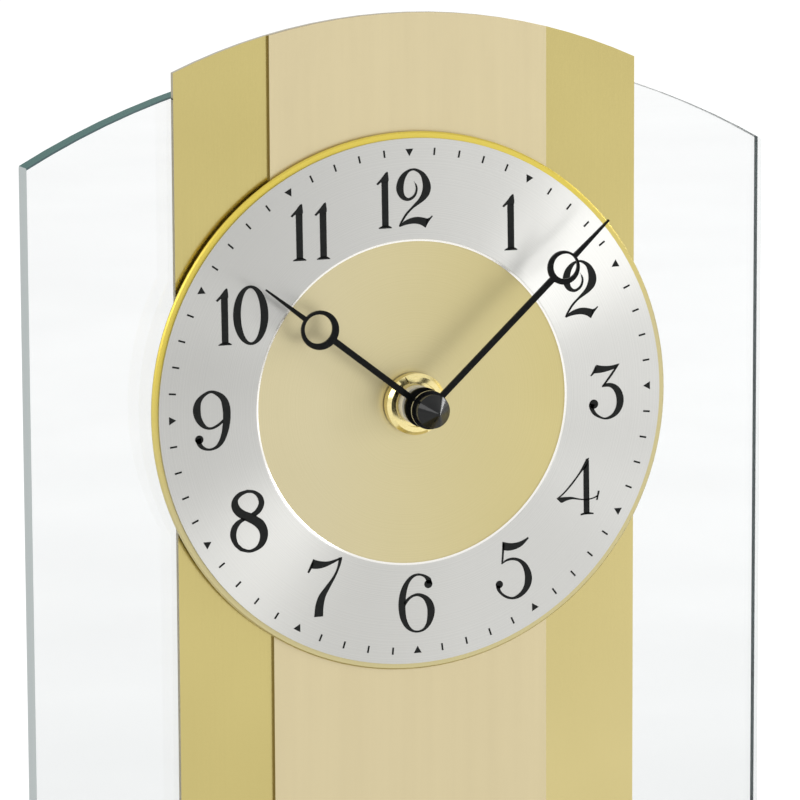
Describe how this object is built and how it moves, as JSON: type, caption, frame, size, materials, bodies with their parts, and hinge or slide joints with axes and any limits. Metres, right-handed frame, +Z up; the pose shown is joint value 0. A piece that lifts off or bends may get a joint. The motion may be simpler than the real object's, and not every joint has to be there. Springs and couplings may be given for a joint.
{
  "type": "desk pendulum clock",
  "caption": "Desk clock with a round silver and gold dial on an arched gold panel and glass plate, standing in a metal base, with a pendulum swinging behind a window in the panel.",
  "frame": {"origin": "centre of the felt underside, on the table, midway across the base", "axes": "+Z up, the dial faces -Y, +X to the right as seen from the front"},
  "size_m": [0.176, 0.08, 0.2802],
  "materials": {
    "base_metal": "satin brass-coloured metal, brushed along its length",
    "felt": "dark green felt",
    "steel": "plain bright steel",
    "rubber": "matt black rubber",
    "glass": "clear float glass with ground greenish edges",
    "polished_brass": "polished and lacquered pale brass",
    "brushed_brass": "pale gold, finely brushed upright",
    "acrylic_tape": "black acrylic mounting tape",
    "black_plastic": "fine-grained black moulding",
    "dial_gold": "gold anodised, turned face and bright rim",
    "dial_silver": "silver, circularly brushed, printed in black",
    "ivory_plastic": "ivory moulding",
    "black_hands": "semi-gloss black lacquer",
    "magnet": "dark sintered magnet",
    "battery_wrap": "plain dark sleeve with bare steel ends",
    "nickel": "nickel-plated spring steel",
    "copper": "enamelled copper wire",
    "board": "green circuit board"
  },
  "bodies": {
    "clock": {"ballast_plate": "steel", "base_body": "base_metal", "base_felt": "felt", "base_screws": "steel", "case_back": "black_plastic", "case_front": "black_plastic", "case_screws": "steel", "case_washer": "rubber", "centre_strip": "brushed_brass", "circuit_board": "board", "dial_disc": "dial_gold", "dial_spacer": "black_plastic", "drive_coil": "copper", "fixing_bush": "ivory_plastic", "fixing_nut": "polished_brass", "front_panel": "polished_brass", "glass_gasket": "rubber", "glass_grub_screws": "steel", "glass_panel": "glass", "hour_ring": "dial_silver", "hub_spacer": "acrylic_tape", "middle_plate": "ivory_plastic", "minute_wheel_post": "steel", "motor_coil": "copper", "motor_stator": "steel", "negative_contact": "nickel", "nut_washer": "polished_brass", "panel_tape": "acrylic_tape", "pivot_clip": "steel", "pivot_pin": "steel", "positive_contact": "nickel", "quartz_crystal": "nickel"},
    "minute_train": {"minute_arbor": "steel", "minute_hand": "black_hands", "minute_collet": "steel", "cap_washer": "steel", "hand_cap": "black_hands"},
    "hour_train": {"hour_wheel": "ivory_plastic", "hour_hand": "black_hands", "hour_collet": "black_hands"},
    "minute_wheel": {"minute_wheel": "ivory_plastic"},
    "setting_knob": {"setting_knob": "black_plastic"},
    "rotor": {"rotor": "ivory_plastic", "rotor_magnet": "magnet"},
    "fifth_wheel": {"fifth_wheel": "ivory_plastic"},
    "second_wheel": {"second_wheel": "ivory_plastic"},
    "third_wheel": {"third_wheel": "ivory_plastic"},
    "centre_wheel": {"centre_wheel": "ivory_plastic"},
    "pendulum": {"pendulum_arm": "black_plastic", "pendulum_magnet": "magnet", "pendulum_rod": "polished_brass", "pendulum_bob": "polished_brass", "rating_nut": "polished_brass"},
    "battery": {"battery": "battery_wrap"}
  },
  "joints": [
    {"name": "minute_hand_turn", "type": "hinge", "parent": "clock", "child": "minute_train", "pos_m": [0, 0, 0.2], "axis": [0, 1, 0], "continuous": true},
    {"name": "hour_hand_turn", "type": "hinge", "parent": "clock", "child": "hour_train", "pos_m": [0, 0, 0.2], "axis": [0, 1, 0], "continuous": true},
    {"name": "minute_wheel_turn", "type": "hinge", "parent": "clock", "child": "minute_wheel", "pos_m": [0.012, 0, 0.2], "axis": [0, 1, 0], "continuous": true},
    {"name": "setting_turn", "type": "hinge", "parent": "clock", "child": "setting_knob", "pos_m": [0.012, 0, 0.188], "axis": [0, 1, 0], "continuous": true},
    {"name": "centre_wheel_turn", "type": "hinge", "parent": "clock", "child": "centre_wheel", "pos_m": [0, 0, 0.2], "axis": [0, 1, 0], "continuous": true},
    {"name": "third_wheel_turn", "type": "hinge", "parent": "clock", "child": "third_wheel", "pos_m": [-0.0055, 0, 0.196], "axis": [0, 1, 0], "continuous": true},
    {"name": "second_wheel_turn", "type": "hinge", "parent": "clock", "child": "second_wheel", "pos_m": [-0.0087, 0, 0.18955], "axis": [0, 1, 0], "continuous": true},
    {"name": "fifth_wheel_turn", "type": "hinge", "parent": "clock", "child": "fifth_wheel", "pos_m": [-0.0142, 0, 0.1885], "axis": [0, 1, 0], "continuous": true},
    {"name": "rotor_turn", "type": "hinge", "parent": "clock", "child": "rotor", "pos_m": [-0.0176, 0, 0.1919], "axis": [0, 1, 0], "continuous": true},
    {"name": "pendulum_swing", "type": "hinge", "parent": "clock", "child": "pendulum", "pos_m": [0, 0, 0.1598], "axis": [0, 1, 0], "range_deg": [-6.5, 6.5]},
    {"name": "battery_out", "type": "slide", "parent": "clock", "child": "battery", "axis": [0, 1, 0], "range_m": [0, 0.016]}
  ],
  "couplings": [
    {"joint": "minute_wheel_turn", "follows": "minute_hand_turn", "ratio": -0.33333},
    {"joint": "hour_hand_turn", "follows": "minute_hand_turn", "ratio": 0.083333},
    {"joint": "setting_turn", "follows": "minute_hand_turn", "ratio": 1},
    {"joint": "fifth_wheel_turn", "follows": "rotor_turn", "ratio": -0.2},
    {"joint": "second_wheel_turn", "follows": "rotor_turn", "ratio": 0.033333},
    {"joint": "third_wheel_turn", "follows": "rotor_turn", "ratio": -0.0041667},
    {"joint": "centre_wheel_turn", "follows": "rotor_turn", "ratio": 0.00055556}
  ]
}
